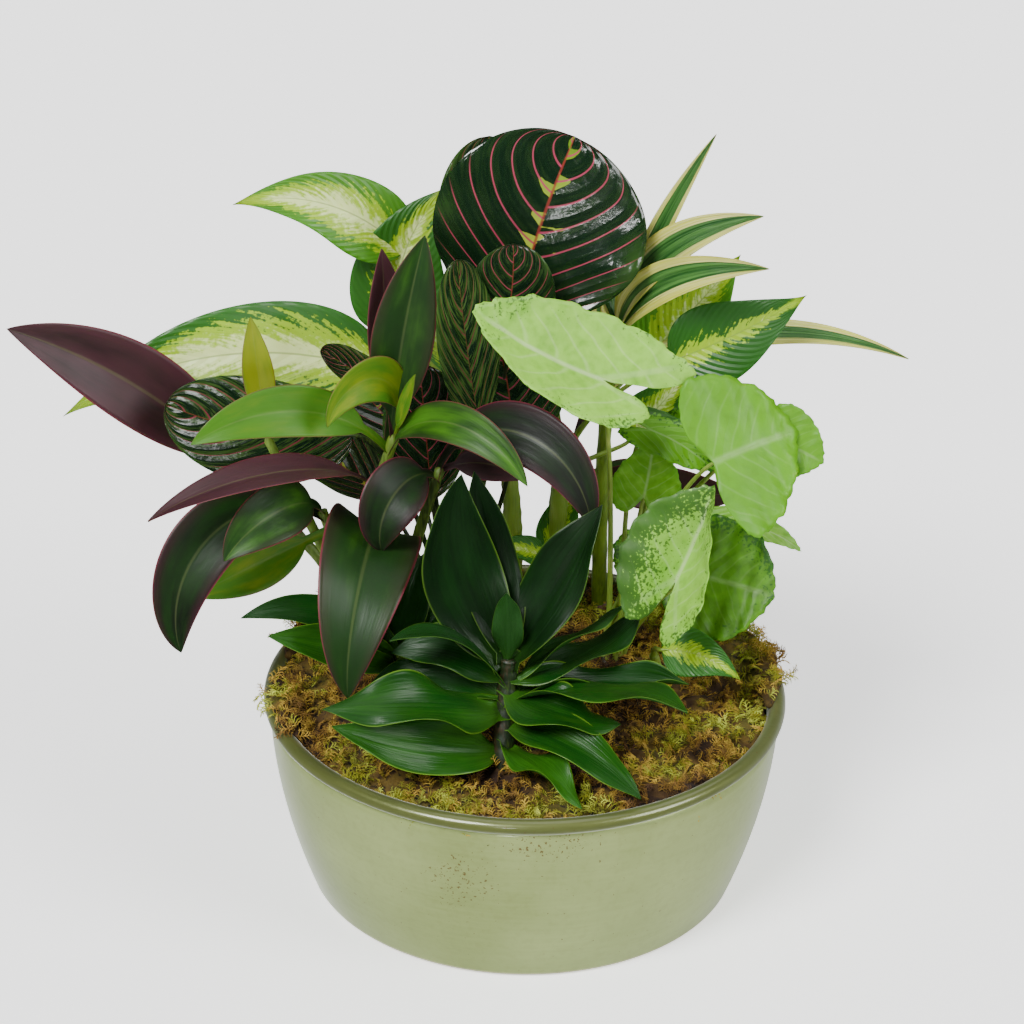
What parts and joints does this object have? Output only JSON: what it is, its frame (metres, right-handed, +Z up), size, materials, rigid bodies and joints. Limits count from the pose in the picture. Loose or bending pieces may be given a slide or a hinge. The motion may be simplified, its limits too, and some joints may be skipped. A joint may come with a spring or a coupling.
{
  "type": "dish garden",
  "caption": "Round glazed pottery bowl planted with mixed foliage plants over sheet moss, a free-standing table decoration.",
  "frame": {"origin": "middle of the bowl's flat foot, on the surface it stands on", "axes": "+Z up, -Y towards the garden's front, where the low rosette leans over the rim; +X to the right as seen from the front"},
  "size_m": [0.4267, 0.3088, 0.3655],
  "materials": {
    "sage_glaze": "gloss",
    "potting_soil": "matte",
    "sheet_moss": "matte",
    "dragon_leaf": "satin",
    "ti_leaf": "satin",
    "prayer_leaf": "satin",
    "dumb_cane_leaf": "satin",
    "arrowhead_leaf": "satin",
    "striped_leaf": "satin"
  },
  "bodies": {
    "root": {"bowl": "sage_glaze", "potting_soil": "potting_soil", "moss": "sheet_moss", "dragon_plant_front": "dragon_leaf", "dragon_plant_side": "dragon_leaf", "ti_plant": "ti_leaf", "ti_plant_back": "ti_leaf", "prayer_plant": "prayer_leaf", "dumb_cane_left": "dumb_cane_leaf", "dumb_cane_right": "dumb_cane_leaf", "dumb_cane_small": "dumb_cane_leaf", "arrowhead_vine": "arrowhead_leaf", "striped_dragon_plant": "striped_leaf"}
  },
  "joints": []
}
